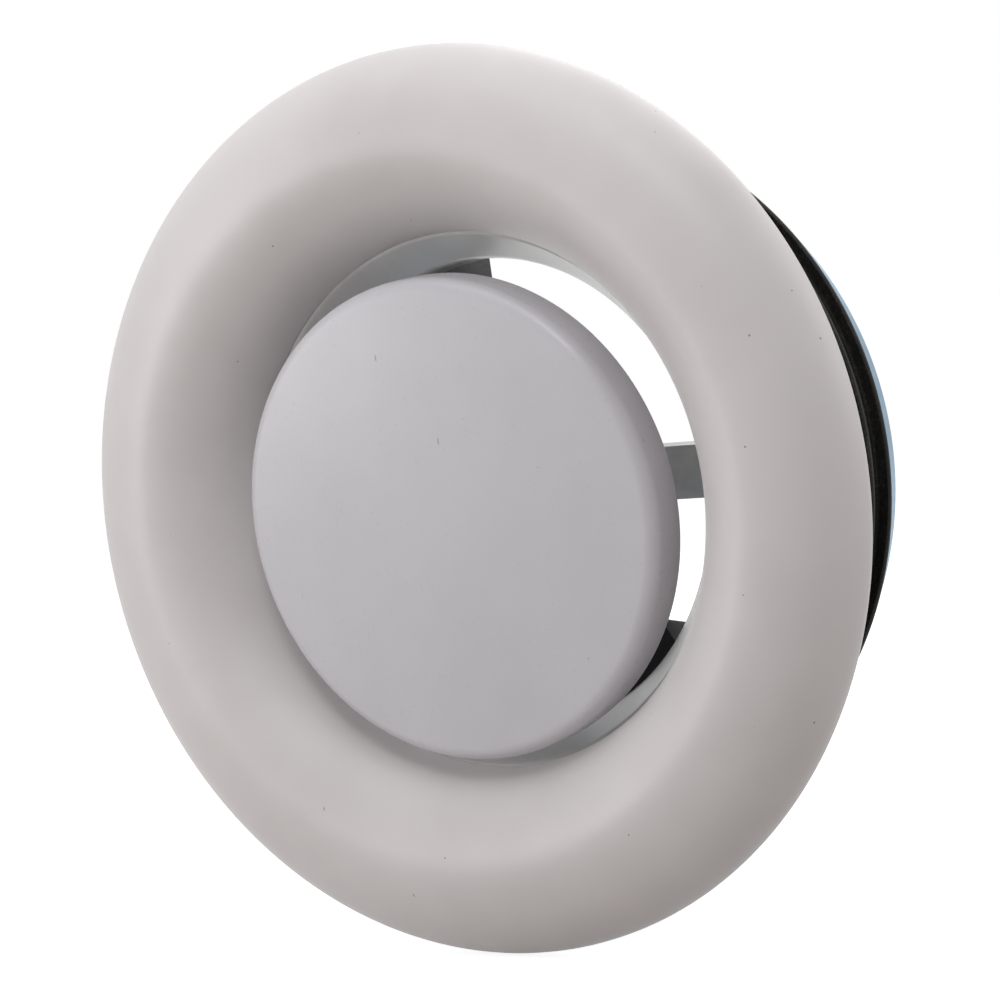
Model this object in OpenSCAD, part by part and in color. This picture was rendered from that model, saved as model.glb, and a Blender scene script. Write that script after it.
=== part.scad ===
// Extract air valve for a round duct: a bull-nose ring on a throat sleeve, a disc on a screwed
// spindle that hangs in a cross bar, and a mounting collar with a rubber duct seal.
// The valve's axis is Y, it faces -Y, and the wall plane behind the collar's flange is y = 0.

/* [Ring] */
// Outer diameter of the bull-nose ring
ring_d = 164; // [150:1:190]
// Height of the ring's crest in front of the wall plane
ring_h = 13.5; // [11:0.5:20]
// Radius at which the crest lies
crest_r = 63.8; // [62:0.1:70]
// Fullness of the curve from the crest to the rim, 2 is an ellipse
rim_fullness = 1.8; // [1.6:0.05:2.2]
// Fullness of the curve from the crest to the throat, 2 is an ellipse
inner_fullness = 1.45; // [1.3:0.05:2]
// Thickness of the ring's sheet
ring_t = 1.2; // [0.8:0.1:1.6]
// Radius of the throat at the ring's lip
throat_r = 48.7; // [47:0.1:50]
// How far the lip lies behind the wall plane
lip_y = 3; // [1.5:0.25:3.5]
// Width of the hem that is turned in at the ring's rim
hem_w = 3; // [2:0.5:4]

/* [Throat sleeve] */
// Inner radius of the sleeve's rear end
neck_r = 43.2; // [41:0.25:44]
// Where the sleeve's cone ends, behind the wall plane
cone_y = 12; // [9:0.5:14]
// Where the sleeve ends, behind the wall plane
neck_y = 18.8; // [17.5:0.1:20]
// Thickness of the sleeve's sheet
neck_t = 1; // [0.8:0.1:1.2]
// Width of the sleeve's front flange
neck_flange = 4; // [2:0.5:6]

/* [Collar] */
// How far the ring stands out past the spigot that goes into the duct
overhang = 20; // [18:0.5:22]
// Length of the spigot behind the wall plane
spigot_len = 48; // [46:0.5:52]
// Thickness of the collar's sheet
collar_t = 0.9; // [0.7:0.1:1.2]
// How far the collar's flange ends inside the ring's rim
flange_in = 9.5; // [9:0.5:11]
// Inner radius of the bend between flange and spigot
collar_bend = 1.5; // [1:0.25:2]
// Radius of a screw hole
screw_hole_r = 2.25; // [2:0.25:2.5]
// Number of screw holes
screw_count = 3; // [3:1:6]
// How far the hem at the spigot's end stands in
hem_in = 0.8; // [0.5:0.1:1]

/* [Seals] */
// Start of the duct seal, behind the wall plane
seal_y = 27; // [26.5:0.5:27.5]
// Width of the duct seal's band
seal_w = 12; // [11:0.5:13]
// Thickness of the duct seal's band
seal_t = 2; // [1.6:0.1:2.4]
// Depth of the rolled groove that the band sits in
seal_groove = 0.6; // [0.4:0.1:0.8]
// How far the duct seal's lips stand out from the spigot
lip_out = 4.6; // [3.5:0.1:5]
// Thickness of a lip at its root
lip_t = 1.7; // [1.4:0.1:2]
// Clearance between the collar's flange and the foam ring round it
foam_gap = 0.7; // [0.5:0.1:1]
// Width of the foam ring
foam_w = 5; // [4:0.5:5.5]

/* [Cross bar] */
// Width of the bar
bar_w = 10; // [9:0.5:12]
// Thickness of the bar's strip
bar_t = 1.5; // [1.2:0.1:2]
// Where the bar's front face lies, behind the wall plane
bar_y = 34.6; // [33:0.5:36]
// Depth of the bar's folded edges
bar_edge = 5; // [4:0.5:6]
// Outer radius of the folded edges
bar_fold_r = 2.2; // [1.8:0.1:2.4]
// Radius of the round pad at the middle of the bar
pad_r = 9; // [8:0.5:10]
// Lean of bar and spindle, which sag towards the floor
sag = 3.3; // [0:0.1:3.6]

/* [Spindle] */
// Diameter of the spindle
spindle_d = 8; // [6:0.5:9]
// Rear end of the spindle, behind the wall plane
spindle_y = 55.5; // [55:0.5:58]
// Radial running clearance on the spindle
running = 0.05; // [0.02:0.01:0.08]
// Width of the nuts across their flats
nut_af = 13; // [12.5:0.5:14]
// Height of the nuts
nut_h = 6.5; // [5:0.5:6.5]
// Outer radius of the washers
washer_r = 8; // [7.5:0.25:9]
// Thickness of the washers
washer_t = 1.6; // [1.2:0.1:1.8]
// Barrel radius of the threaded bush
bush_r = 5.5; // [5.2:0.1:6]
// Radius of the bush's flange
bush_flange_r = 7; // [6.6:0.1:7.5]
// Thickness of the bush's flange
bush_flange_t = 1; // [0.8:0.1:1.2]
// Length of the bush's barrel behind the bar's front face
bush_len = 8; // [6:0.5:9]

/* [Disc] */
// Outer diameter of the disc
disc_d = 88.2; // [84:0.2:88.8]
// Height of the disc's edge
disc_h = 8.5; // [7:0.5:9]
// Radius that rounds the disc's edge
disc_round = 4; // [3:0.25:4.5]
// How far the disc's face is crowned
disc_crown = 0.8; // [0.4:0.1:1.5]
// Where the disc's edge begins, in front of the wall plane
disc_front = 8.25; // [8:0.25:10]
// Thickness of the disc's sheet
disc_t = 1.2; // [1:0.1:1.4]

/* [Retaining clips] */
// Angle between the cross bar and a clip
clip_angle = 60; // [55:1:65]
// Width of a clip
clip_w = 20; // [16:0.5:22]
// Radius that a clip's nose reaches in to
clip_nose_r = 34.5; // [34:0.5:37]
// Slope of the clip's inner face
clip_slope = 0.33; // [0.2:0.01:0.4]

/* [Hidden] */
$fn = 120;
eps = 0.01;
air = 0.1;

ring_r = ring_d / 2;
rim_gap = 0.3;
rim_wall = 2;
lip_land = 0.4;
spigot_r = ring_r - overhang;
spigot_in = spigot_r - collar_t;
flange_r = ring_r - flange_in;
screw_pcr = (spigot_r + collar_bend + flange_r) / 2;
foam_r = flange_r + foam_gap;
seal_gap = 0.05;
seal_base_r = spigot_r - seal_groove + 0.02;
lip_r = spigot_r + lip_out;
disc_r = disc_d / 2;
spindle_r = spindle_d / 2;
bore_r = spindle_r + running;
leg_x = neck_r + neck_t + 0.05;
bar_back = bar_y + bar_t;
pivot_y = bar_y + bar_t / 2;
foot_y = cone_y + 0.7;
rivet_y = (foot_y + neck_y) / 2 + 0.6;
rivet_r = 1.6;
rivet_head_r = 2.9;
rivet_head_h = 1.1;
clip_front = neck_y + 0.8;
clip_len = 22;
clip_rivet_y = clip_front + 4;
clip_rivet_depth = 5;

// Along Y: a shape drawn about Z is turned so that its Z runs backwards along the valve's axis
module along_axis() rotate([-90, 0, 0]) children();

// The bar and all that it carries lean about the bar's middle
module leaning() translate([0, pivot_y, 0]) rotate([sag, 0, 0]) translate([0, -pivot_y, 0])
    along_axis() children();

function unit(v) = v / norm(v);
function left(v) = [-v[1], v[0]];
// Direction and length of the mitre at point i of a path, for a sheet of thickness 1
function mitre(path, i) = let (last = len(path) - 1, before = left(unit(path[max(i, 1)] - path[max(i, 1) - 1])),
    after = left(unit(path[min(i, last - 1) + 1] - path[min(i, last - 1)])), m = unit(before + after)) m / (m * before);
function moved(path, d) = [for (i = [0 : len(path) - 1]) path[i] + d * mitre(path, i)];
function flipped(path) = [for (i = [len(path) - 1 : -1 : 0]) path[i]];
function arc(c, r, a0, a1, n = 6) = [for (i = [0 : n]) let (a = a0 + (a1 - a0) * i / n) c + r * [cos(a), sin(a)]];

// Radius and depth along the ring's front: rim, outer quarter, crest, inner curve, lip
function rim_curve(n = 14) = [for (i = [0 : n]) let (a = 90 * i / n, e = 2 / rim_fullness)
    [crest_r + (ring_r - crest_r) * pow(cos(a), e), -rim_wall - (ring_h - rim_wall) * pow(sin(a), e)]];
function inner_curve(n = 16) = [for (i = [1 : n]) let (a = 90 * i / n, e = 2 / inner_fullness)
    [crest_r - (crest_r - throat_r) * pow(sin(a), e), lip_y - (ring_h + lip_y) * pow(cos(a), e)]];
function ring_front() = concat([[ring_r - hem_w, -rim_gap], [ring_r, -rim_gap]], rim_curve(), inner_curve(),
    [[throat_r, lip_y + lip_land]]);

module valve_ring() color([0.75, 0.73, 0.72]) along_axis() {
    front = ring_front();
    rotate_extrude() polygon(concat(front, flipped(moved(front, -ring_t))));
}

// Flange under the ring's lip, a cone and a short neck that the bar's feet are riveted to
module neck_sleeve() color([0.7, 0.71, 0.74]) difference() {
    front = lip_y + lip_land + air;
    wall = [[throat_r + neck_flange, front], [throat_r - 0.4, front], [neck_r, cone_y], [neck_r, neck_y]];
    along_axis() rotate_extrude() polygon(concat(wall, flipped(moved(wall, -neck_t))));
    leaning() bar_rivet_places() translate([0, 0, neck_r - 2]) cylinder(r = rivet_r + 0.05, h = 4, $fn = 32);
}

// Depth of the ring's hollow back at radius r, outside its crest
function hollow(r) = -rim_wall - (ring_h - rim_wall - ring_t)
    * pow(1 - pow((r - crest_r) / (ring_r - crest_r - ring_t), rim_fullness), 1 / rim_fullness);

// Foam strip glued into the ring, its front shaped to the ring's hollow
module ring_foam() color([0.16, 0.16, 0.17]) along_axis() {
    front = [for (i = [0 : 8]) let (r = foam_r + foam_w * i / 8) [r, hollow(r) + 2 * air]];
    rotate_extrude() polygon(concat(front, [[foam_r + foam_w, -rim_gap], [foam_r, -rim_gap]]));
}

// Flange on the wall, spigot with a rolled groove for the seal and a hem at its end
module mounting_collar() color([0.62, 0.72, 0.78]) along_axis() difference() {
    bend = arc([spigot_r + collar_bend, collar_bend], collar_bend, 270, 180);
    groove = [[spigot_r, seal_y - seal_gap - seal_groove], [spigot_r - seal_groove, seal_y - seal_gap],
        [spigot_r - seal_groove, seal_y + seal_w + seal_gap],
        [spigot_r, seal_y + seal_w + seal_gap + seal_groove]];
    wall = concat([[flange_r, 0]], bend, groove);
    hem = [[spigot_in - hem_in, spigot_len], [spigot_in - hem_in, spigot_len - 4.5], [spigot_in, spigot_len - 5.5]];
    inside = flipped(moved(concat(wall, [[spigot_r, spigot_len - 6]]), collar_t));
    rotate_extrude() polygon(concat(wall, [[spigot_r, spigot_len]], hem, inside));
    for (i = [0 : screw_count - 1]) rotate([0, 0, 30 + 360 * i / screw_count])
        translate([screw_pcr, 0, -2]) cylinder(r = screw_hole_r, h = 4);
    clip_places() for (t = [-1, 1]) translate([spigot_in - 1, t * clip_w / 4, clip_rivet_y])
        rotate([0, 90, 0]) cylinder(r = rivet_r + 0.05, h = collar_t + 2, $fn = 32);
}

// Rubber band with two lips that point to the wall
module duct_seal() color([0.07, 0.07, 0.07]) along_axis() {
    band_r = seal_base_r + seal_t;
    rotate_extrude() {
        translate([seal_base_r, seal_y]) square([seal_t, seal_w]);
        for (root = [seal_y + 0.45 * seal_w, seal_y + seal_w])
            polygon([[band_r - eps, root - lip_t], [lip_r - 0.4, root - 3.2], [lip_r, root - 2.9],
                     [lip_r, root - 2.3], [band_r - eps, root]]);
    }
}

// Section of the bar between its feet: a strip with both edges folded back round a radius
module bar_section() difference() {
    rounded(bar_w, bar_edge + bar_fold_r, bar_fold_r);
    translate([0, bar_t]) rounded(bar_w - 2 * bar_t, bar_edge + bar_fold_r, bar_fold_r - bar_t);
    translate([-bar_w, bar_edge]) square([2 * bar_w, bar_edge]);
}

module rounded(w, h, r) {
    translate([-w / 2 + r, 0]) square([w - 2 * r, h]);
    translate([-w / 2, r]) square([w, h - r]);
    for (s = [-1, 1]) translate([s * (w / 2 - r), r]) circle(r, $fn = 40);
}

// One strip bent to a U: two feet on the throat sleeve and a web across the air way
module cross_bar() color([0.5, 0.5, 0.52]) leaning() difference() {
    foot_h = bar_back - foot_y;
    union() {
        translate([0, bar_w / 2, bar_back]) rotate([90, 0, 0]) mirror([0, 1]) linear_extrude(bar_w) difference() {
            rounded(2 * (leg_x + bar_t), foot_h, bar_t + 1.5);
            translate([0, bar_t]) rounded(2 * leg_x, foot_h, 1.5);
        }
        for (s = [-1, 1]) translate([s > 0 ? pad_r - 1 : -leg_x + 4, 0, bar_y]) rotate([90, 0, 90])
            linear_extrude(leg_x - 3 - pad_r) bar_section();
        translate([0, 0, bar_y]) cylinder(r = pad_r, h = bar_t);
    }
    translate([0, 0, bar_y - 1]) cylinder(r = bush_r + 0.05, h = bar_edge + 2);
    for (s = [-1, 1]) translate([s * (leg_x + bar_t / 2), 0, rivet_y]) rotate([0, 90, 0])
        cylinder(r = rivet_r + 0.05, h = bar_t + 1, center = true, $fn = 32);
}

// Two rivets through the bar's feet and the sleeve
module bar_rivets() color([0.72, 0.73, 0.75]) leaning() bar_rivet_places() {
    translate([0, 0, neck_r + 0.05]) cylinder(r = rivet_r, h = neck_t + bar_t + 0.5, $fn = 32);
    translate([0, 0, leg_x + bar_t + 0.05]) rivet_head(rivet_head_r, rivet_head_h);
}

module bar_rivet_places() for (s = [-1, 1]) mirror([s > 0 ? 0 : 1, 0, 0]) translate([0, 0, rivet_y])
    rotate([0, 90, 0]) children();

module rivet_head(r, h) rotate_extrude($fn = 40) intersection() {
    translate([0, h - (r * r + h * h) / (2 * h)]) circle((r * r + h * h) / (2 * h), $fn = 90);
    square([r, h]);
}

// Threaded bush, pressed into the bar's pad and swaged behind it
module spindle_bush() color([0.74, 0.74, 0.72]) leaning() difference() {
    translate([0, 0, bar_y]) {
        translate([0, 0, -bush_flange_t]) cylinder(r = bush_flange_r, h = bush_flange_t);
        cylinder(r = bush_r, h = bush_len);
        translate([0, 0, bar_t]) cylinder(r = bush_r + 0.9, h = 1.2);
    }
    translate([0, 0, bar_y - bush_flange_t - 1]) cylinder(r = bore_r, h = bush_len + bush_flange_t + 2);
}

module clip_places() for (a = [0, 180]) rotate([0, 0, clip_angle + a]) children();

// Moulded clip: its back lies on the groove's inner bead, its notch takes the sleeve's rear end
module retaining_clip() {
    back_r = spigot_in - seal_groove - 0.15;
    hook_in = neck_r + neck_t + 1;
    nose_end = clip_nose_r + clip_slope * 12;
    outline = [[back_r, clip_front - 1], [back_r, clip_front + clip_len], [back_r - 9, clip_front + clip_len],
        [nose_end, clip_front + 13], [nose_end - 0.5, clip_front + 12], [clip_nose_r + 0.2, clip_front + 1],
        [clip_nose_r + 1, clip_front], [hook_in, clip_front], [hook_in, clip_front - 6.5],
        [hook_in + 1.2, clip_front - 8], [hook_in + 2.6, clip_front - 8], [hook_in + 3.4, clip_front - 1]];
    intersection() {
        difference() {
            translate([0, clip_w / 2, 0]) rotate([90, 0, 0]) linear_extrude(clip_w) polygon(outline);
            for (t = [-1, 1]) translate([spigot_in - clip_rivet_depth - 1, t * clip_w / 4, clip_rivet_y])
                rotate([0, 90, 0]) cylinder(r = rivet_r + 0.05, h = clip_rivet_depth + 5, $fn = 32);
            translate([back_r - 12, -clip_w / 2 + 2.5, clip_front + 8]) cube([8.5, clip_w - 5, clip_len]);
        }
        cylinder(r = back_r, h = 60);
    }
}

module retaining_clip_lower() color([0.12, 0.12, 0.13]) along_axis() rotate([0, 0, clip_angle]) retaining_clip();
module retaining_clip_upper() color([0.12, 0.12, 0.13]) along_axis() rotate([0, 0, clip_angle + 180]) retaining_clip();

module clip_rivets() color([0.72, 0.73, 0.75]) along_axis() clip_places() for (t = [-1, 1])
    translate([spigot_in - clip_rivet_depth, t * clip_w / 4, clip_rivet_y]) rotate([0, 90, 0]) {
        cylinder(r = rivet_r, h = clip_rivet_depth + collar_t + 0.3, $fn = 32);
        translate([0, 0, clip_rivet_depth + collar_t + 0.15]) rivet_head(rivet_head_r, rivet_head_h);
    }

module washer(outer, inner, h) difference() {
    cylinder(r = outer, h = h);
    translate([0, 0, -1]) cylinder(r = inner, h = h + 2);
}

// Hexagon nut with its corners turned off at both ends
module nut() difference() {
    intersection() {
        cylinder(r = nut_af / 2 / cos(30), h = nut_h, $fn = 6);
        rotate_extrude() polygon([[0, 0], [nut_af / 2 - 0.2, 0], [nut_af / 2 / cos(30) + 0.1, 0.65],
            [nut_af / 2 / cos(30) + 0.1, nut_h - 0.65], [nut_af / 2 - 0.2, nut_h], [0, nut_h]]);
    }
    translate([0, 0, -1]) cylinder(r = bore_r, h = nut_h + 2);
}

lock_washer_y = bar_y - bush_flange_t - air - washer_t;
lock_nut_y = lock_washer_y - air - nut_h;
disc_back = -disc_front + disc_t;
head_t = 2;
head_r = 9;
head_y = disc_back + 0.3;
dish_y = head_y + head_t + 0.1;
dish_t = 1.2;
hub_washer_y = dish_y + dish_t + air;
hub_nut_y = hub_washer_y + washer_t + air;
stop_t = 1.1;
stop_y = spindle_y - 1.8 - stop_t;

module lock_washer() color([0.78, 0.78, 0.77]) leaning() translate([0, 0, lock_washer_y])
    washer(washer_r, spindle_r + 0.2, washer_t);
module lock_nut() color([0.78, 0.78, 0.77]) leaning() translate([0, 0, lock_nut_y]) nut();
module hub_washer() color([0.78, 0.78, 0.77]) leaning() translate([0, 0, hub_washer_y])
    washer(washer_r, bore_r, washer_t);
module hub_nut() color([0.78, 0.78, 0.77]) leaning() translate([0, 0, hub_nut_y]) nut();

// Screwed rod with a flat head inside the disc and a groove for the stop clip
module spindle() color([0.8, 0.8, 0.78]) leaning() difference() {
    union() {
        translate([0, 0, head_y]) cylinder(r = head_r, h = head_t);
        translate([0, 0, head_y]) cylinder(r = spindle_r, h = spindle_y - 0.6 - head_y);
        translate([0, 0, spindle_y - 0.6]) cylinder(r1 = spindle_r, r2 = spindle_r - 0.6, h = 0.6);
    }
    translate([0, 0, stop_y - 0.05]) washer(spindle_r + 1, spindle_r - 0.8, stop_t + 0.1);
}

module stop_washer() color([0.78, 0.78, 0.77]) leaning() translate([0, 0, stop_y - 0.15 - washer_t])
    washer(washer_r - 1, bore_r, washer_t);

// Spring ring with open ears, sprung into the spindle's groove
module stop_clip() color([0.25, 0.25, 0.26]) leaning() translate([0, 0, stop_y]) difference() {
    union() {
        cylinder(r = spindle_r + 1.4, h = stop_t);
        for (s = [-1, 1]) rotate([0, 0, s * 26]) translate([spindle_r + 1.6, 0, 0]) cylinder(r = 1.5, h = stop_t, $fn = 32);
    }
    translate([0, 0, -1]) cylinder(r = spindle_r - 0.75, h = stop_t + 2);
    translate([0, -1.1, -1]) cube([20, 2.2, stop_t + 2]);
    for (s = [-1, 1]) rotate([0, 0, s * 26]) translate([spindle_r + 1.8, 0, -1]) cylinder(r = 0.6, h = stop_t + 2, $fn = 24);
}

// Pressed cup: crowned face, rounded edge, short wall and a turned-in hem that holds the dish
module valve_disc() color([0.78, 0.77, 0.79]) leaning() {
    face_r = disc_r - disc_round;
    back = -disc_front + disc_h;
    face = [for (i = [0 : 8]) let (r = face_r * i / 8) [r, -disc_front - disc_crown * (1 - pow(r / face_r, 2))]];
    edge = concat(arc([face_r, -disc_front + disc_round], disc_round, 278, 360, 9), [[disc_r, back], [disc_r - 3.2, back]]);
    path = concat(face, edge);
    rotate_extrude() polygon(concat(path, flipped([for (p = moved(path, disc_t)) [max(p[0], 0), p[1]]])));
}

// Stiffening plate inside the cup
module disc_dish() color([0.6, 0.61, 0.62]) leaning() {
    rim_y = disc_h - disc_front - disc_t - 0.05 - dish_t;
    rim_r = disc_r - disc_t - 0.3;
    front = [[bore_r, dish_y], [rim_r - 13, dish_y], [rim_r - 9, rim_y], [rim_r, rim_y]];
    rotate_extrude() polygon(concat(front, flipped(moved(front, dish_t))));
}

valve_ring();
neck_sleeve();
ring_foam();
mounting_collar();
duct_seal();
cross_bar();
bar_rivets();
spindle_bush();
retaining_clip_lower();
retaining_clip_upper();
clip_rivets();
lock_washer();
lock_nut();
hub_washer();
spindle();
valve_disc();
disc_dish();
hub_nut();
stop_washer();
stop_clip();
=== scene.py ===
import math

import bmesh
import bpy
from mathutils import Matrix, Vector


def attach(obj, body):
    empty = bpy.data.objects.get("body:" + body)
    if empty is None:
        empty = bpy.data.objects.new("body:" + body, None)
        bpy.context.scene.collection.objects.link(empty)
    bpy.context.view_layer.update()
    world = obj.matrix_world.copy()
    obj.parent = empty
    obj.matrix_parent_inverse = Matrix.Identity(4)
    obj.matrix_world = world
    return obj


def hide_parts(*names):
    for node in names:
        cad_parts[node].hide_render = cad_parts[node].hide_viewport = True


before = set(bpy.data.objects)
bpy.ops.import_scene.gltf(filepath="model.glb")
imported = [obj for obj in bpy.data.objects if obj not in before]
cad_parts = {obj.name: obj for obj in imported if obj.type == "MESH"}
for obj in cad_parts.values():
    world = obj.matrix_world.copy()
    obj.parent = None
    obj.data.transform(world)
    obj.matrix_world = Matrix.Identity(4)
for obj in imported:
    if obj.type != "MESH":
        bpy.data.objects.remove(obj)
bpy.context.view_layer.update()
MM = 0.001


# Bull-nose ring: one steel sheet spun to a round rim, its edge turned in behind and its inside
# drawn down to the throat. It is sprayed with a warm light grey powder that bakes to a satin
# skin, with a grain of dust caught in it here and there. Radii and depths are millimetres.
def bent(corners, closed=False, steps=6):
    """Points along straight lines whose corners, given as (radius, depth, bend), are rounded."""
    points = []
    for i, (x, y, bend) in enumerate(corners):
        here = Vector((x, y))
        if bend == 0 or (not closed and i in (0, len(corners) - 1)):
            points.append(here)
            continue
        a = (Vector(corners[i - 1][:2]) - here).normalized()
        b = (Vector(corners[(i + 1) % len(corners)][:2]) - here).normalized()
        half = a.angle(b) / 2
        centre = here + (a + b).normalized() * (bend / math.sin(half))
        first, last = (here + v * (bend / math.tan(half)) - centre for v in (a, b))
        start = math.atan2(first.y, first.x)
        sweep = (math.atan2(last.y, last.x) - start + math.pi) % (2 * math.pi) - math.pi
        for k in range(steps + 1):
            turn = start + sweep * k / steps
            points.append(centre + bend * Vector((math.cos(turn), math.sin(turn))))
    return points


def sheet_outline(path, thickness, from_axis=False, steps=4):
    """Outline of a sheet that has one face along the path and round edges."""
    ahead = [(b - a).normalized() for a, b in zip(path, path[1:])]
    sides = [Vector((-v.y, v.x)) for v in ahead]
    moved = []
    for i, point in enumerate(path):
        before, after = sides[max(i - 1, 0)], sides[min(i, len(sides) - 1)]
        mitre = (before + after).normalized()
        moved.append(point + mitre * (thickness / mitre.dot(before)))

    def edge(a, b, outward):
        middle, reach = (a + b) / 2, (a - b) / 2
        turns = [math.pi * k / steps for k in range(1, steps)]
        return [middle + reach * math.cos(t) + outward * (reach.length * math.sin(t)) for t in turns]

    outline = path + edge(path[-1], moved[-1], ahead[-1]) + moved[::-1]
    if from_axis:
        outline[-1] = Vector((0, outline[-1].y))
        return outline
    return outline + edge(moved[0], path[0], -ahead[0])


def turning_tree():
    """Turns an outline of (radius, depth) points about the valve's axis, as on a lathe."""
    tree = bpy.data.node_groups.new("turned_on_the_axis", "GeometryNodeTree")
    sockets = {}
    for name, kind in (("Outline", "Geometry"), ("Rows", "Int"), ("Steps round", "Int"),
                       ("Finish", "Material")):
        made = tree.interface.new_socket(name, in_out="INPUT", socket_type="NodeSocket" + kind)
        sockets[name] = made.identifier
    tree.interface.new_socket("Piece", in_out="OUTPUT", socket_type="NodeSocketGeometry")
    node, link = tree.nodes.new, tree.links.new
    given, out = node("NodeGroupInput"), node("NodeGroupOutput")

    def maths(operation, *values):
        step = node("ShaderNodeMath")
        step.operation = operation
        for socket, value in zip(step.inputs, values):
            if isinstance(value, (int, float)):
                socket.default_value = value
            else:
                link(value, socket)
        return step.outputs[0]

    grid = node("GeometryNodeMeshGrid")
    grid.inputs["Size X"].default_value = 1
    grid.inputs["Size Y"].default_value = 1
    link(maths("ADD", given.outputs["Steps round"], 1), grid.inputs["Vertices X"])
    link(given.outputs["Rows"], grid.inputs["Vertices Y"])
    position = node("GeometryNodeInputPosition")
    across = node("ShaderNodeSeparateXYZ")
    link(position.outputs[0], across.inputs[0])
    turn = maths("MULTIPLY", maths("ADD", across.outputs["X"], 0.5), 2 * math.pi)
    last_row = maths("SUBTRACT", given.outputs["Rows"], 1)
    row = maths("ROUND", maths("MULTIPLY", maths("ADD", across.outputs["Y"], 0.5), last_row))
    sample = node("GeometryNodeSampleIndex")
    sample.data_type, sample.domain = "FLOAT_VECTOR", "POINT"
    link(given.outputs["Outline"], sample.inputs["Geometry"])
    link(position.outputs[0], next(s for s in sample.inputs if s.name == "Value" and s.enabled))
    link(row, sample.inputs["Index"])
    outline = node("ShaderNodeSeparateXYZ")
    link(next(s for s in sample.outputs if s.enabled), outline.inputs[0])
    place = node("ShaderNodeCombineXYZ")
    link(maths("MULTIPLY", outline.outputs["X"], maths("COSINE", turn)), place.inputs["X"])
    link(outline.outputs["Y"], place.inputs["Y"])
    link(maths("MULTIPLY", outline.outputs["X"], maths("SINE", turn)), place.inputs["Z"])
    moved = node("GeometryNodeSetPosition")
    link(grid.outputs["Mesh"], moved.inputs["Geometry"])
    link(place.outputs[0], moved.inputs["Position"])
    merged = node("GeometryNodeMergeByDistance")
    merged.inputs["Distance"].default_value = 1e-6
    link(moved.outputs[0], merged.inputs["Geometry"])
    real = node("GeometryNodeRealizeInstances")
    link(merged.outputs[0], real.inputs[0])
    coated = node("GeometryNodeSetMaterial")
    link(real.outputs[0], coated.inputs["Geometry"])
    link(given.outputs["Finish"], coated.inputs["Material"])
    link(coated.outputs[0], out.inputs[0])
    return tree, sockets


def settle(piece, material, sharp=32):
    """Makes the modifiers' result the piece's own closed mesh, smooth but for its sharp edges."""
    depsgraph = bpy.context.evaluated_depsgraph_get()
    mesh = bpy.data.meshes.new_from_object(piece.evaluated_get(depsgraph), depsgraph=depsgraph)
    piece.modifiers.clear()
    piece.data = mesh
    shell = bmesh.new()
    shell.from_mesh(mesh)
    bmesh.ops.remove_doubles(shell, verts=shell.verts, dist=1e-7)
    bmesh.ops.dissolve_degenerate(shell, edges=shell.edges, dist=1e-7)
    bmesh.ops.recalc_face_normals(shell, faces=shell.faces)
    for face in shell.faces:
        face.smooth = True
        face.material_index = 0
    shell.to_mesh(mesh)
    shell.free()
    mesh.materials.clear()
    mesh.materials.append(material)
    mesh.set_sharp_from_angle(angle=math.radians(sharp))
    return piece


def new_piece(name, points, edges, faces):
    mesh = bpy.data.meshes.new(name)
    mesh.from_pydata(points, edges, faces)
    piece = bpy.data.objects.new(name, mesh)
    bpy.context.scene.collection.objects.link(piece)
    return piece


turning, turning_inputs = turning_tree()


def turned(name, outline, material, steps=224, closed=True):
    """A piece turned from an outline in millimetres."""
    rows = [(p.x * MM, p.y * MM, 0) for p in (outline + outline[:1] if closed else outline)]
    piece = new_piece(name, rows, [(i, i + 1) for i in range(len(rows) - 1)], [])
    lathe = piece.modifiers.new("turning", "NODES")
    lathe.node_group = turning
    lathe[turning_inputs["Rows"]] = len(rows)
    lathe[turning_inputs["Steps round"]] = steps
    lathe[turning_inputs["Finish"]] = material
    return settle(piece, material)


def finish(name, colour, roughness, metallic=0.0):
    material = bpy.data.materials.new(name)
    material.use_nodes = True
    shader = material.node_tree.nodes["Principled BSDF"]
    shader.inputs["Base Color"].default_value = (*colour, 1)
    shader.inputs["Roughness"].default_value = roughness
    shader.inputs["Metallic"].default_value = metallic
    return material


def texture(material, kind, scale, stretch=(1, 1, 1), **inputs):
    """A texture's value over the piece, its scale in features a metre."""
    tree = material.node_tree
    where, mapping = tree.nodes.new("ShaderNodeTexCoord"), tree.nodes.new("ShaderNodeMapping")
    mapping.inputs["Scale"].default_value = stretch
    tree.links.new(where.outputs["Object"], mapping.inputs["Vector"])
    pattern = tree.nodes.new("ShaderNodeTex" + kind)
    tree.links.new(mapping.outputs["Vector"], pattern.inputs["Vector"])
    pattern.inputs["Scale"].default_value = scale
    for name, value in inputs.items():
        pattern.inputs[name].default_value = value
    return pattern.outputs[0]


def graded(material, value, *stops):
    """Colours or greys that follow a value, given as (value, colour or grey)."""
    ramp = material.node_tree.nodes.new("ShaderNodeValToRGB")
    while len(ramp.color_ramp.elements) < len(stops):
        ramp.color_ramp.elements.new(0.5)
    for element, (place, tone) in zip(ramp.color_ramp.elements, stops):
        element.position = place
        element.color = (*tone, 1) if isinstance(tone, tuple) else (tone, tone, tone, 1)
    material.node_tree.links.new(value, ramp.inputs["Fac"])
    return ramp.outputs["Color"]


def multiplied(material, first, second):
    mix = material.node_tree.nodes.new("ShaderNodeMix")
    mix.data_type, mix.blend_type = "RGBA", "MULTIPLY"
    mix.inputs[0].default_value = 1
    material.node_tree.links.new(first, mix.inputs[6])
    material.node_tree.links.new(second, mix.inputs[7])
    return mix.outputs[2]


def wired(material, output, socket):
    shader = material.node_tree.nodes["Principled BSDF"]
    material.node_tree.links.new(output, shader.inputs[socket])


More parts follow.
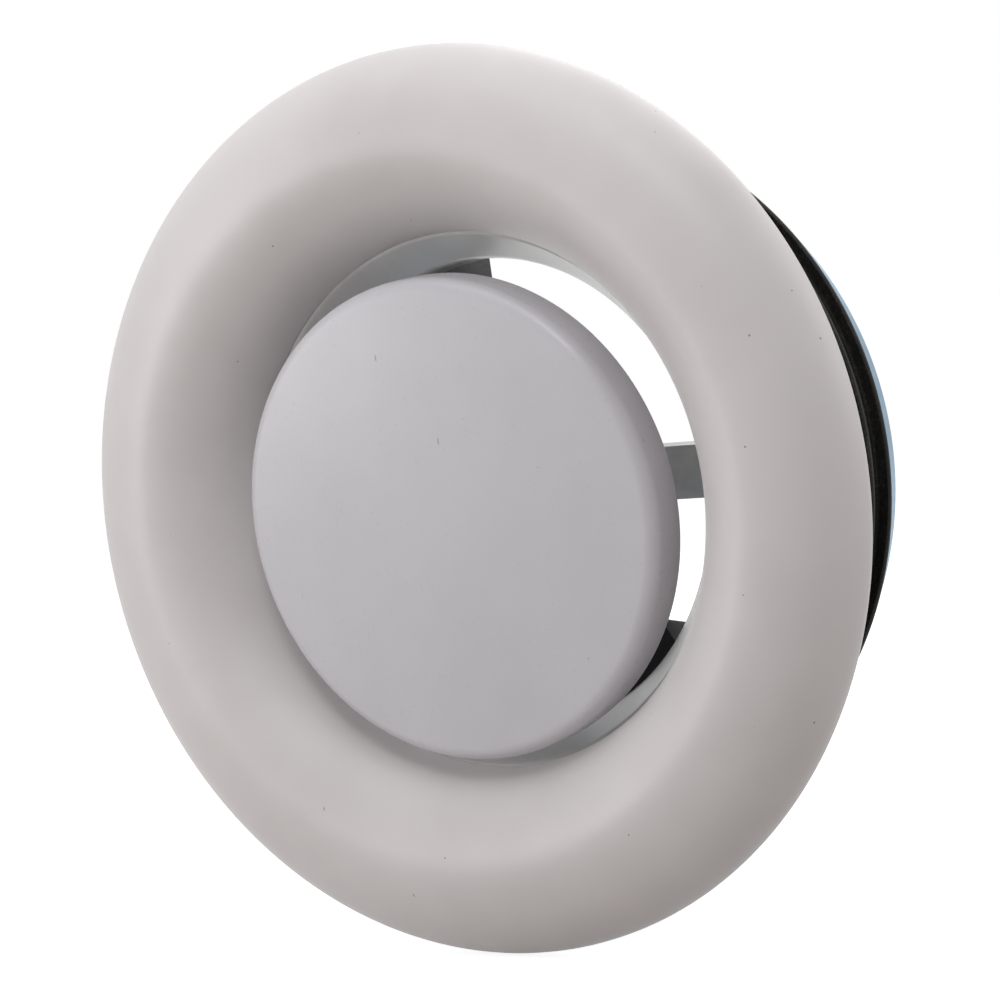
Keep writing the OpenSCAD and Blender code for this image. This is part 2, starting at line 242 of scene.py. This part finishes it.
def raised(material, height, strength, distance):
    """Relief from a height, in metres, laid over any relief that is there already."""
    tree = material.node_tree
    bump = tree.nodes.new("ShaderNodeBump")
    bump.inputs["Strength"].default_value = strength
    bump.inputs["Distance"].default_value = distance
    tree.links.new(height, bump.inputs["Height"])
    normal = tree.nodes["Principled BSDF"].inputs["Normal"]
    if normal.is_linked:
        tree.links.new(normal.links[0].from_socket, bump.inputs["Normal"])
    tree.links.new(bump.outputs["Normal"], normal)


def powder_coat(name, light, tinged, roughness, shift):
    """Satin powder: a faint cloudiness, orange peel, a fine grain, a few specks and fibres."""
    coat = finish(name, light, roughness)
    coat.node_tree.nodes["Principled BSDF"].inputs["Specular IOR Level"].default_value = 0.35
    cloud = texture(coat, "Noise", 21 + shift, Detail=3, Roughness=0.6)
    colour = graded(coat, cloud, (0.32, tinged), (0.62, light))
    dust = texture(coat, "Voronoi", 118 + shift)
    specks = graded(coat, dust, (0.012, (0.36, 0.33, 0.30)), (0.028, 1.0))
    lint = texture(coat, "Voronoi", 150 + shift, stretch=(1, 1, 0.2))
    fibres = graded(coat, lint, (0.016, (0.55, 0.53, 0.51)), (0.026, 1.0))
    wired(coat, multiplied(coat, colour, multiplied(coat, specks, fibres)), "Base Color")
    grain = texture(coat, "Noise", 1500, Detail=2)
    wired(coat, graded(coat, grain, (0.3, roughness - 0.03), (0.7, roughness + 0.04)), "Roughness")
    peel = texture(coat, "Noise", 420, Detail=2, Roughness=0.5)
    raised(coat, peel, 0.14, 0.00005)
    raised(coat, grain, 0.06, 0.00002)
    return coat


ring_radius, crest_radius, throat_radius = 82.0, 63.8, 48.7
ring_height, rim_wall, rim_gap, rim_hem, lip_depth, lip_land = 13.5, 2.0, 0.3, 3.0, 3.0, 0.4
rim_fullness, inner_fullness, ring_sheet, rim_bend, crown_steps = 1.8, 1.45, 1.2, 1.35, 40


def eased_crest(path, steps=72, reach=18, rounds=36):
    """The path in even steps, its tight bend at the crest spread out, its height kept."""
    lengths = [0.0]
    for a, b in zip(path, path[1:]):
        lengths.append(lengths[-1] + (b - a).length)
    even, i = [path[0]], 1
    for k in range(1, steps):
        along = lengths[-1] * k / steps
        while lengths[i] < along:
            i += 1
        even.append(path[i - 1].lerp(path[i], (along - lengths[i - 1]) / (lengths[i] - lengths[i - 1])))
    even.append(path[-1])
    crest = min(range(steps + 1), key=lambda k: even[k].y)
    height = -rim_wall - even[crest].y
    for turn in range(rounds):
        shares = [max(0, 1 - ((k - crest) / reach) ** 2) / 2 for k in range(1, steps)]
        even[1:-1] = [b.lerp((a + c) / 2, share)
                      for a, b, c, share in zip(even, even[1:], even[2:], shares)]
    rise = height / (-rim_wall - min(point.y for point in even))
    return [Vector((p.x, min(p.y, -rim_wall + (p.y + rim_wall) * rise))) for p in even]


quarter = [math.pi / 2 * k / crown_steps for k in range(crown_steps + 1)]
crown = [Vector((crest_radius + (ring_radius - crest_radius) * abs(math.cos(a)) ** (2 / rim_fullness),
                 -rim_wall - (ring_height - rim_wall) * math.sin(a) ** (2 / rim_fullness)))
         for a in quarter]
crown += [Vector((crest_radius - (crest_radius - throat_radius) * math.sin(a) ** (2 / inner_fullness),
                  lip_depth - (ring_height + lip_depth)
                  * abs(math.cos(a)) ** (2 / inner_fullness)))
          for a in quarter[1:]]
ring_path = bent([(ring_radius - rim_hem, -rim_gap, 0), (ring_radius, -rim_gap, rim_bend),
                  (ring_radius, -rim_wall, 0)])[:-1] + eased_crest(crown)
ring_path.append(Vector((throat_radius, lip_depth + lip_land)))
ring_coat = powder_coat("ring_powder", (0.625, 0.59, 0.588), (0.568, 0.534, 0.53), 0.42, 0)
ring = turned("ring_shell", sheet_outline(ring_path, -ring_sheet), ring_coat, 256)
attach(ring, "valve_body")
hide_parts("valve_ring")


# Throat sleeve: a flange under the ring's lip, a cone and a short neck, pressed from one sheet.
# Its coat is glossy and a plain grey, so it mirrors the disc and the light from behind.
neck_radius, neck_end, cone_end, sleeve_sheet = 43.2, 18.8, 12.0, 1.0
flange_width, flange_step, flange_bend, cone_bend, lip_clearance = 4, 0.4, 1.2, 5, 0.1
sleeve_front = lip_depth + lip_land + lip_clearance
sleeve_path = bent([(throat_radius + flange_width, sleeve_front, 0),
                    (throat_radius - flange_step, sleeve_front, flange_bend),
                    (neck_radius, cone_end, cone_bend), (neck_radius, neck_end, 0)])
sleeve_coat = finish("sleeve_gloss", (0.60, 0.585, 0.57), 0.2)
streaks = texture(sleeve_coat, "Noise", 90, stretch=(1, 0.15, 1), Detail=3)
wired(sleeve_coat, graded(sleeve_coat, streaks, (0.3, (0.56, 0.546, 0.532)),
                          (0.7, (0.64, 0.624, 0.608))), "Base Color")
wired(sleeve_coat, graded(sleeve_coat, streaks, (0.3, 0.14), (0.7, 0.27)), "Roughness")
raised(sleeve_coat, texture(sleeve_coat, "Noise", 260, Detail=2), 0.12, 0.00008)
sleeve = turned("throat_sleeve", sheet_outline(sleeve_path, -sleeve_sheet), sleeve_coat)
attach(sleeve, "valve_body")
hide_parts("neck_sleeve")


# Foam ring: a strip of closed-cell foam glued into the ring's hollow, which seals on the wall.
# It is cut to the hollow's curve in front and stands level with the rim behind.
foam_inner, foam_outer, foam_gap, foam_bend, foam_steps = 73.2, 78.2, 0.2, 0.6, 8
foam_radii = [foam_inner + (foam_outer - foam_inner) * k / foam_steps
              for k in range(foam_steps + 1)]
foam_front = [(r, -rim_wall - (ring_height - rim_wall - ring_sheet)
               * (1 - ((r - crest_radius) / (ring_radius - crest_radius - ring_sheet))
                  ** rim_fullness) ** (1 / rim_fullness) + foam_gap, 0) for r in foam_radii]
foam_mass = finish("foam_cells", (0.045, 0.045, 0.048), 0.95)
cells = texture(foam_mass, "Voronoi", 1400, Randomness=1)
wired(foam_mass, graded(foam_mass, cells, (0.1, 0.02), (0.6, 0.065)), "Base Color")
raised(foam_mass, cells, 0.6, 0.0002)
foam_back = [(foam_outer, -rim_gap, foam_bend), (foam_inner, -rim_gap, foam_bend)]
foam = turned("rim_foam", bent(foam_front + foam_back, closed=True), foam_mass, 160)
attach(foam, "valve_body")
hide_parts("ring_foam")


# Mounting collar: zinc-plated sheet, its colour tinted blue as a painted reflection of blue light. A
# flange with three screw holes lies on the wall, the spigot has a rolled groove for the seal, and its
# end is folded in.
collar_sheet, collar_edge, flange_radius, root_bend = 0.9, 0.2, 72.5, 1.5
spigot_radius, spigot_end, fold_radius, fold_start, fold_bend = 62, 48, 60.3, 43.5, 0.8
groove_radius, groove_front, groove_back, groove_ramp, ramp_inside = 61.4, 26.35, 39.65, 0.6, 0.37
spigot_inside, groove_inside = spigot_radius - collar_sheet, groove_radius - collar_sheet
collar_corners = [(flange_radius, 0, collar_edge), (spigot_radius, 0, root_bend),
                  (spigot_radius, groove_front, 0.5),
                  (groove_radius, groove_front + groove_ramp, 0.4),
                  (groove_radius, groove_back - groove_ramp, 0.4),
                  (spigot_radius, groove_back, 0.5),
                  (spigot_radius, spigot_end, fold_bend), (fold_radius, spigot_end, fold_bend),
                  (fold_radius, fold_start, 0.25), (spigot_inside, fold_start - 1, 0.2),
                  (spigot_inside, groove_back + ramp_inside, 0.5),
                  (groove_inside, groove_back - groove_ramp + ramp_inside, 0.4),
                  (groove_inside, groove_front + groove_ramp - ramp_inside, 0.4),
                  (spigot_inside, groove_front - ramp_inside, 0.5),
                  (spigot_inside, -collar_sheet, root_bend + collar_sheet),
                  (flange_radius, -collar_sheet, collar_edge)]


def zinc_plate(name, bright, dull, roughness, brushed=(1, 1, 1)):
    """Plated steel: a hazy tone, and fine marks that run along the brushed direction."""
    plate = finish(name, bright, roughness, 1.0)
    haze = texture(plate, "Noise", 48, Detail=4, Roughness=0.62)
    wired(plate, graded(plate, haze, (0.32, dull), (0.66, bright)), "Base Color")
    marks = texture(plate, "Noise", 1100, stretch=brushed, Detail=3)
    wired(plate, graded(plate, marks, (0.3, roughness - 0.06), (0.7, roughness + 0.07)),
          "Roughness")
    raised(plate, marks, 0.08, 0.00002)
    return plate


# The blue in these collar colours is a painted reflection of blue light on plain zinc.
collar_zinc = zinc_plate("collar_zinc_painted_blue_reflection", (0.25, 0.34, 0.42), (0.20, 0.28, 0.36), 0.36,
                         (1, 0.5, 1))
collar = turned("duct_collar", bent(collar_corners, closed=True), collar_zinc)
screw_circle, screw_hole, drill_length = 68, 2.25, 6
drill = bmesh.new()
for angle in (math.radians(30), math.radians(150), math.radians(270)):
    spot = screw_circle * Vector((math.cos(angle), 0, -math.sin(angle)))
    bmesh.ops.create_cone(drill, cap_ends=True, segments=40, radius1=screw_hole * MM,
                          radius2=screw_hole * MM, depth=drill_length * MM,
                          matrix=Matrix.Translation(spot * MM) @ Matrix.Rotation(math.pi / 2, 4, "X"))
drills = new_piece("screw_drills", [], [], [])
drill.to_mesh(drills.data)
drill.free()
drilled = collar.modifiers.new("screw_holes", "BOOLEAN")
drilled.operation, drilled.solver, drilled.object = "DIFFERENCE", "EXACT", drills
settle(collar, collar_zinc)
bpy.data.objects.remove(drills)
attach(collar, "valve_body")
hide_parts("mounting_collar")


# Duct seal: a black rubber band in the spigot's groove, with two thin lips that lean towards the
# wall. Talc and dust leave it speckled, most on the lips.
seal_inner, seal_band, seal_front, seal_back, seal_lip = 61.42, 63.42, 27.0, 39.0, 66.6
front_lip_root, lip_foot, lip_lean, lip_tip, tip_edge = 32.4, 1.7, 2.9, 0.6, 0.35
seal_corners = [(seal_inner, seal_front, 0.2), (seal_band, seal_front, 0.4)]
for root in (front_lip_root, seal_back):
    seal_corners += [(seal_band, root - lip_foot, 0.5),
                     (seal_lip - tip_edge, root - lip_lean - tip_edge, 0.2),
                     (seal_lip, root - lip_lean, 0.2), (seal_lip, root - lip_lean + lip_tip, 0.25),
                     (seal_band, root, 0.4)]
seal_corners.append((seal_inner, seal_back, 0.2))
seal_rubber = finish("seal_rubber_speckled", (0.014, 0.014, 0.014), 0.75)
seal_rubber.node_tree.nodes["Principled BSDF"].inputs["Specular IOR Level"].default_value = 0.3
talc = texture(seal_rubber, "Noise", 2100, Detail=4, Roughness=0.7)
patches = texture(seal_rubber, "Noise", 130, Detail=2)
speckle = graded(seal_rubber, talc, (0.5, (0.011, 0.011, 0.011)), (0.62, (0.07, 0.06, 0.05)))
wired(seal_rubber, multiplied(seal_rubber, speckle,
                              graded(seal_rubber, patches, (0.35, 0.35), (0.65, 1.0))),
      "Base Color")
wired(seal_rubber, graded(seal_rubber, talc, (0.4, 0.66), (0.65, 0.92)), "Roughness")
raised(seal_rubber, talc, 0.4, 0.00006)
seal = turned("lip_seal", bent(seal_corners, closed=True, steps=4), seal_rubber)
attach(seal, "valve_body")
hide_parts("duct_seal")


# Cross bar: a zinc-plated strip with folded edges, bent to a U whose feet stand on the sleeve.
# Its edges are broken, as a press tool leaves them.
def broken_edges(node, name, width, material):
    """A copy of a CAD piece, its triangles joined to faces and its edges broken by width mm."""
    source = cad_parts[node].data
    piece = new_piece(name, [v.co.copy() for v in source.vertices], [],
                      [tuple(p.vertices) for p in source.polygons])
    faces = bmesh.new()
    faces.from_mesh(piece.data)
    bmesh.ops.remove_doubles(faces, verts=faces.verts, dist=2e-6)
    bmesh.ops.dissolve_limit(faces, angle_limit=math.radians(1), verts=faces.verts,
                             edges=faces.edges)
    faces.to_mesh(piece.data)
    faces.free()
    bevel = piece.modifiers.new("broken_edges", "BEVEL")
    bevel.width, bevel.segments = width * MM, 2
    bevel.limit_method, bevel.angle_limit = "ANGLE", math.radians(35)
    return settle(piece, material)


bar_zinc = zinc_plate("bar_plate", (0.44, 0.435, 0.43), (0.33, 0.325, 0.32), 0.38, (0.12, 1, 1))
bar = broken_edges("cross_bar", "cross_bar_strip", 0.18, bar_zinc)
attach(bar, "valve_body")
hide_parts("cross_bar")


# Rivets: domed steel rivets, two through the bar's feet and the sleeve and four through the
# clips and the spigot. Each head lies flat on the outer sheet.
def riveting_tree():
    """Puts a rivet on every point, its head turned the way the point's outward vector says."""
    tree = bpy.data.node_groups.new("rivets_set", "GeometryNodeTree")
    sockets = {}
    for name, kind in (("Places", "Geometry"), ("Rivet", "Object"), ("Finish", "Material")):
        made = tree.interface.new_socket(name, in_out="INPUT", socket_type="NodeSocket" + kind)
        sockets[name] = made.identifier
    tree.interface.new_socket("Rivets", in_out="OUTPUT", socket_type="NodeSocketGeometry")
    node, link = tree.nodes.new, tree.links.new
    given, out = node("NodeGroupInput"), node("NodeGroupOutput")
    rivet = node("GeometryNodeObjectInfo")
    link(given.outputs["Rivet"], rivet.inputs["Object"])
    outward = node("GeometryNodeInputNamedAttribute")
    outward.data_type = "FLOAT_VECTOR"
    outward.inputs["Name"].default_value = "outward"
    facing = node("FunctionNodeAlignRotationToVector")
    facing.axis = "Y"
    link(next(s for s in outward.outputs if s.enabled), facing.inputs["Vector"])
    placed = node("GeometryNodeInstanceOnPoints")
    link(given.outputs["Places"], placed.inputs["Points"])
    link(rivet.outputs["Geometry"], placed.inputs["Instance"])
    link(facing.outputs[0], placed.inputs["Rotation"])
    real = node("GeometryNodeRealizeInstances")
    link(placed.outputs[0], real.inputs[0])
    coated = node("GeometryNodeSetMaterial")
    link(real.outputs[0], coated.inputs["Geometry"])
    link(given.outputs["Finish"], coated.inputs["Material"])
    link(coated.outputs[0], out.inputs[0])
    return tree, sockets


riveting, riveting_inputs = riveting_tree()
fixing_zinc = zinc_plate("bright_zinc", (0.74, 0.74, 0.72), (0.60, 0.60, 0.585), 0.27)
pivot_depth, sag = 35.35, math.radians(3.3)
lean = (Matrix.Translation((0, pivot_depth * MM, 0)) @ Matrix.Rotation(sag, 4, "X")
        @ Matrix.Translation((0, -pivot_depth * MM, 0)))


def rivets(name, places, shank, shank_radius=1.6, head_radius=2.9, head_height=1.1, steps=8):
    """One piece of like rivets, from (foot, outward) pairs in millimetres."""
    turns = [math.pi / 2 * k / steps for k in range(steps + 1)]
    outline = [Vector((head_radius * math.sin(t), shank + head_height * math.cos(t)))
               for t in turns]
    outline += [Vector((shank_radius, shank)), Vector((shank_radius, 0)), Vector((0, 0))]
    one = turned("one_rivet", outline, fixing_zinc, 40, closed=False)
    piece = new_piece(name, [foot * MM for foot, outward in places], [], [])
    facing = piece.data.attributes.new("outward", "FLOAT_VECTOR", "POINT")
    for item, (foot, outward) in zip(facing.data, places):
        item.vector = outward
    setting = piece.modifiers.new("setting", "NODES")
    setting.node_group = riveting
    setting[riveting_inputs["Rivet"]] = one
    setting[riveting_inputs["Finish"]] = fixing_zinc
    settle(piece, fixing_zinc)
    bpy.data.objects.remove(one)
    return piece


foot_radius, foot_depth = 43.25, 16.35
foot_places = [(Vector((side * foot_radius, foot_depth, 0)), Vector((side, 0, 0)))
               for side in (-1, 1)]
bar_rivets = rivets("bar_rivet_pair", foot_places, shank=2.55)
bar_rivets.data.transform(lean)
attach(bar_rivets, "valve_body")
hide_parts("bar_rivets")

clip_places = []
rivet_radius, rivet_depth, rivet_side = 56.1, 23.6, 5
for angle in (math.radians(60), math.radians(240)):
    out = Vector((math.cos(angle), 0, -math.sin(angle)))
    along = Vector((-math.sin(angle), 0, -math.cos(angle)))
    clip_places += [(out * rivet_radius + along * side + Vector((0, rivet_depth, 0)), out)
                    for side in (-rivet_side, rivet_side)]
clip_rivets = rivets("clip_rivet_set", clip_places, shank=6.05)
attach(clip_rivets, "valve_body")
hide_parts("clip_rivets")


# Threaded bush: turned steel, pressed through the bar's middle, with a flange in front and a
# swaged collar behind.
bore, barrel, bush_flange, swage = 4.05, 5.5, 7, 6.4
bush_front, bar_front, bar_back, swage_end, bush_end = 33.6, 34.6, 36.1, 37.3, 42.6
bush_outline = bent([(bore, bush_front, 0.3), (bush_flange, bush_front, 0.3),
                     (bush_flange, bar_front, 0.1), (barrel, bar_front, 0.05),
                     (barrel, bar_back, 0.05), (swage, bar_back, 0.1), (swage, swage_end, 0.5),
                     (barrel, swage_end, 0.1), (barrel, bush_end, 0.4), (bore, bush_end, 0.3)],
                    closed=True, steps=4)
bush = turned("threaded_bush", bush_outline, fixing_zinc, 72)
bush.data.transform(lean)
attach(bush, "valve_body")
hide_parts("spindle_bush")


# Retaining clips: two black moulded hooks, riveted inside the spigot across from each other.
# Their noses take the sleeve's rear end, so the ring snaps into the collar.
clip_plastic = finish("moulded_black", (0.016, 0.016, 0.017), 0.55)
clip_plastic.node_tree.nodes["Principled BSDF"].inputs["Specular IOR Level"].default_value = 0.25
moulded = texture(clip_plastic, "Noise", 1300, Detail=3)
wired(clip_plastic, graded(clip_plastic, moulded, (0.3, (0.012, 0.012, 0.013)),
                           (0.7, (0.021, 0.021, 0.022))), "Base Color")
wired(clip_plastic, graded(clip_plastic, moulded, (0.3, 0.48), (0.7, 0.64)), "Roughness")
raised(clip_plastic, moulded, 0.25, 0.00004)
for node, name in (("retaining_clip_lower", "lower_clip"), ("retaining_clip_upper", "upper_clip")):
    clip = broken_edges(node, name, 0.4, clip_plastic)
    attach(clip, "valve_body")
    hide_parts(node)


# Spindle: a steel rod with a rolled right-hand thread of 8 mm by 1.25 mm. Its flat head lies
# inside the disc, and a groove near the other end takes the stop clip.
head_front, head_back, head_radius, head_edge, spindle_end = -6.75, -4.75, 9.0, 0.45, 55.5
thread_radius, pitch, thread_depth, thread_start, end_chamfer = 4.0, 1.25, 0.7, 2, 0.6
flank_slope, crest_width = 1.35, 0.18
clip_groove_start, clip_groove_end, clip_groove_radius = 52.55, 53.75, 3.2
thread_rows, round_steps = 10 * int((spindle_end - head_back) / pitch), 40
rod_rows = [(8.5, head_front, False), (head_radius, head_front + head_edge, False),
            (head_radius, head_back - head_edge, False), (8.6, head_back, False),
            (thread_radius, head_back, False)]
rod_rows += [(thread_radius, head_back + (spindle_end - head_back) * k / thread_rows, True)
             for k in range(1, thread_rows + 1)]
rod_points = []
for radius, depth, threaded in rod_rows:
    for k in range(round_steps):
        r, share = radius, k / round_steps
        if threaded:
            rise = 1 - abs(2 * ((depth / pitch + share) % 1) - 1)
            cut = min(1, max(0, flank_slope * rise - crest_width))
            cut *= min(1, (depth - head_back) / thread_start)
            r = min(thread_radius - thread_depth * cut,
                    thread_radius + spindle_end - end_chamfer - depth)
            if clip_groove_start <= depth <= clip_groove_end:
                r = clip_groove_radius
        turn = 2 * math.pi * share
        rod_points.append((r * MM * math.cos(turn), depth * MM, r * MM * math.sin(turn)))
rod_faces = [(i * round_steps + k, i * round_steps + (k + 1) % round_steps,
              (i + 1) * round_steps + (k + 1) % round_steps, (i + 1) * round_steps + k)
             for i in range(len(rod_rows) - 1) for k in range(round_steps)]
rod_faces += [tuple(range(round_steps)),
              tuple(range((len(rod_rows) - 1) * round_steps, len(rod_rows) * round_steps))]
rod = settle(new_piece("threaded_rod", rod_points, [], rod_faces), fixing_zinc, 60)
rod.data.transform(lean)
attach(rod, "disc_and_spindle")
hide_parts("spindle")


# Washers and nuts: plain plated washers and hexagon nuts. One pair clamps the disc's plate to
# the spindle's head, one locks the spindle on the bar, and a washer stands before the stop clip.
def washer(name, front, outer, inner, thickness, body, node):
    corners = [(inner, front, 0.15), (outer, front, 0.3), (outer, front + thickness, 0.3),
               (inner, front + thickness, 0.15)]
    piece = turned(name, bent(corners, closed=True, steps=4), fixing_zinc, 80)
    piece.data.transform(lean)
    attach(piece, body)
    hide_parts(node)


for name, front, outer, inner, body, node in (
        ("back_washer", 31.9, 8.0, 4.2, "lock_washer", "lock_washer"),
        ("hub_plate_washer", -3.35, 8.0, 4.05, "spindle_carriage", "hub_washer"),
        ("end_washer", 50.85, 7.0, 4.05, "disc_and_spindle", "stop_washer")):
    washer(name, front, outer, inner, 1.6, body, node)
for node, name, body in (("lock_nut", "back_nut", "lock_nut"),
                         ("hub_nut", "front_nut", "disc_and_spindle")):
    nut = broken_edges(node, name, 0.15, fixing_zinc)
    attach(nut, body)
    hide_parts(node)


# Stop clip: a sprung ring with two eyes, snapped into the spindle's groove so that it can't be
# screwed out of the bar. Phosphated dark.
spring_steel = zinc_plate("spring_phosphate", (0.13, 0.13, 0.135), (0.08, 0.08, 0.085), 0.45)
stop = broken_edges("stop_clip", "end_clip", 0.08, spring_steel)
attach(stop, "disc_and_spindle")
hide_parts("stop_clip")


# Disc: a pressed steel cup with a faintly crowned face, a round edge, a short wall and a hem
# turned in over the plate. Its powder is a shade colder than the ring's.
disc_radius, disc_front, disc_height, disc_round, disc_crown, disc_sheet = (43.8, 8.25, 9.6, 2.6,
                                                                            0.8, 1.2)
hem_width, hem_bend, face_steps, edge_steps, edge_start = 3.2, 1.4, 24, 14, 274
face_radius, disc_back = disc_radius - disc_round, disc_height - disc_front
disc_path = [Vector((face_radius * k / face_steps,
                     -disc_front - disc_crown * (1 - (k / face_steps) ** 2)))
             for k in range(face_steps + 1)]
edge_turns = [math.radians(edge_start + (360 - edge_start) * k / edge_steps)
              for k in range(edge_steps + 1)]
disc_path += [Vector((face_radius + disc_round * math.cos(t),
                      -disc_front + disc_round + disc_round * math.sin(t))) for t in edge_turns]
disc_path += bent([(disc_radius, -disc_front + disc_round, 0), (disc_radius, disc_back, hem_bend),
                   (disc_radius - hem_width, disc_back, 0)])[1:]
disc_coat = powder_coat("disc_powder", (0.540, 0.527, 0.557), (0.509, 0.497, 0.523), 0.30, 9)
disc = turned("disc_cup", sheet_outline(disc_path, disc_sheet, from_axis=True), disc_coat,
              closed=False)
disc.data.transform(lean)
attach(disc, "disc_and_spindle")
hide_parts("valve_disc")


# Disc plate: a dished plate of plated sheet inside the cup, held by the hem at its rim and by
# the spindle's nut at its middle. It keeps the face from drumming.
plate_middle, plate_sheet, dish_foot, dish_shoulder, plate_radius = -4.65, 1.2, 29.6, 33.6, 42.3
dish_bend, plate_rim = 2.5, disc_back - disc_sheet - 0.05
plate_path = bent([(bore, plate_middle, 0), (dish_foot, plate_middle, dish_bend),
                   (dish_shoulder, plate_rim - plate_sheet, dish_bend),
                   (plate_radius, plate_rim - plate_sheet, 0)])
dish_zinc = zinc_plate("plate_zinc", (0.60, 0.61, 0.63), (0.48, 0.49, 0.51), 0.36)
plate = turned("disc_plate", sheet_outline(plate_path, plate_sheet), dish_zinc, 192)
plate.data.transform(lean)
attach(plate, "disc_and_spindle")
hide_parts("disc_dish")


# Floor and studio: a pale floor under the ring, a white surround, and soft lamps: five in front
# that make the disc pale at its left and top, and two behind that light the ring's edge.
floor_level, floor_half = -ring_radius * MM - 0.0002, 3.0
floor = new_piece("floor", [(x * floor_half, y * floor_half, floor_level)
                            for x, y in ((-1, -1), (1, -1), (1, 1), (-1, 1))], [], [(0, 1, 2, 3)])
floor_paint = bpy.data.materials.new("floor_paint")
floor_paint.use_nodes = True
world = bpy.data.worlds.new("studio")
world.use_nodes = True
bpy.context.scene.world = world


def seen_rays(tree):
    """1 where a camera, glossy or transmission ray looks, so that all see the same white."""
    rays, seen = tree.nodes.new("ShaderNodeLightPath"), None
    for name in ("Is Camera Ray", "Is Glossy Ray", "Is Transmission Ray"):
        either = tree.nodes.new("ShaderNodeMath")
        either.operation = "MAXIMUM"
        tree.links.new(rays.outputs[name], either.inputs[0])
        if seen:
            tree.links.new(seen, either.inputs[1])
        else:
            either.inputs[1].default_value = 0
        seen = either.outputs[0]
    return seen


paint = floor_paint.node_tree
paint.nodes.remove(paint.nodes["Principled BSDF"])
lit, faint, glow = (paint.nodes.new(kind) for kind in (
    "ShaderNodeBsdfDiffuse", "ShaderNodeBsdfDiffuse", "ShaderNodeEmission"))
lit.inputs["Color"].default_value = (0.50, 0.47, 0.45, 1)
faint.inputs["Color"].default_value = (0.56, 0.56, 0.56, 1)
glow.inputs["Strength"].default_value = 0.84
both, shown = paint.nodes.new("ShaderNodeAddShader"), paint.nodes.new("ShaderNodeMixShader")
paint.links.new(faint.outputs[0], both.inputs[0])
paint.links.new(glow.outputs[0], both.inputs[1])
paint.links.new(seen_rays(paint), shown.inputs[0])
paint.links.new(lit.outputs[0], shown.inputs[1])
paint.links.new(both.outputs[0], shown.inputs[2])
paint.links.new(shown.outputs[0], paint.nodes["Material Output"].inputs["Surface"])
floor.data.materials.append(floor_paint)

sky = world.node_tree
ambient, surround = sky.nodes["Background"], sky.nodes.new("ShaderNodeBackground")
ambient.inputs["Color"].default_value = (0.97, 0.98, 1.0, 1)
ambient.inputs["Strength"].default_value = 0.36
surround.inputs["Color"].default_value = (1, 1, 1, 1)
surround.inputs["Strength"].default_value = 1.0
either = sky.nodes.new("ShaderNodeMixShader")
sky.links.new(seen_rays(sky), either.inputs[0])
sky.links.new(ambient.outputs[0], either.inputs[1])
sky.links.new(surround.outputs[0], either.inputs[2])
sky.links.new(either.outputs[0], sky.nodes["World Output"].inputs["Surface"])

for name, place, size, power in (("front_softbox", (0, -0.9, 0.15), 0.5, 0.55),
                                 ("near_top_softbox", (0, -0.06, 0.3), 0.25, 0.31),
                                 ("upper_front_softbox", (0.15, -0.3, 0.35), 0.15, 0.47),
                                 ("near_left_softbox", (-0.24, -0.22, 0.06), 0.16, 0.27),
                                 ("low_left_softbox", (-0.45, -0.45, 0), 0.15, 0.3),
                                 ("right_rim_softbox", (0.6, 0.35, 0.3), 0.5, 1.7),
                                 ("top_rim_softbox", (0, 0.45, 0.5), 0.6, 1.7)):
    lamp = bpy.data.lights.new(name, "AREA")
    lamp.shape, lamp.size, lamp.energy = "SQUARE", size, power
    holder = bpy.data.objects.new(name, lamp)
    holder.location = place
    holder.rotation_euler = Vector(place).to_track_quat("Z", "Y").to_euler()
    holder.visible_camera = False
    bpy.context.scene.collection.objects.link(holder)


# Camera: to the right of the valve and a little above it, tilted as the photograph is. Place
# and turn are fitted to the ring, throat and disc; distances are millimetres.
azimuth, elevation, roll = (math.radians(a) for a in (34.28, 4.585, -6.64))
distance, aside, above, pixels_per_mm, image_width, sensor = 566.6, -6.03, -0.627, 5.559, 1000, 36.0
back = Vector((math.cos(elevation) * math.sin(azimuth), -math.cos(elevation) * math.cos(azimuth),
               math.sin(elevation)))
level = Vector((math.cos(azimuth), math.sin(azimuth), 0))
upright = back.cross(level)
right = level * math.cos(roll) + upright * math.sin(roll)
up = upright * math.cos(roll) - level * math.sin(roll)
lens = bpy.data.cameras.new("camera")
lens.sensor_width, lens.lens = sensor, sensor * pixels_per_mm * distance / image_width
camera = bpy.data.objects.new("camera", lens)
camera.matrix_world = (Matrix.Translation((back * distance - right * aside - up * above) * MM)
                       @ Matrix((right, up, back)).transposed().to_4x4())
bpy.context.scene.collection.objects.link(camera)
bpy.context.scene.camera = camera
bpy.context.scene.view_settings.view_transform = "Standard"
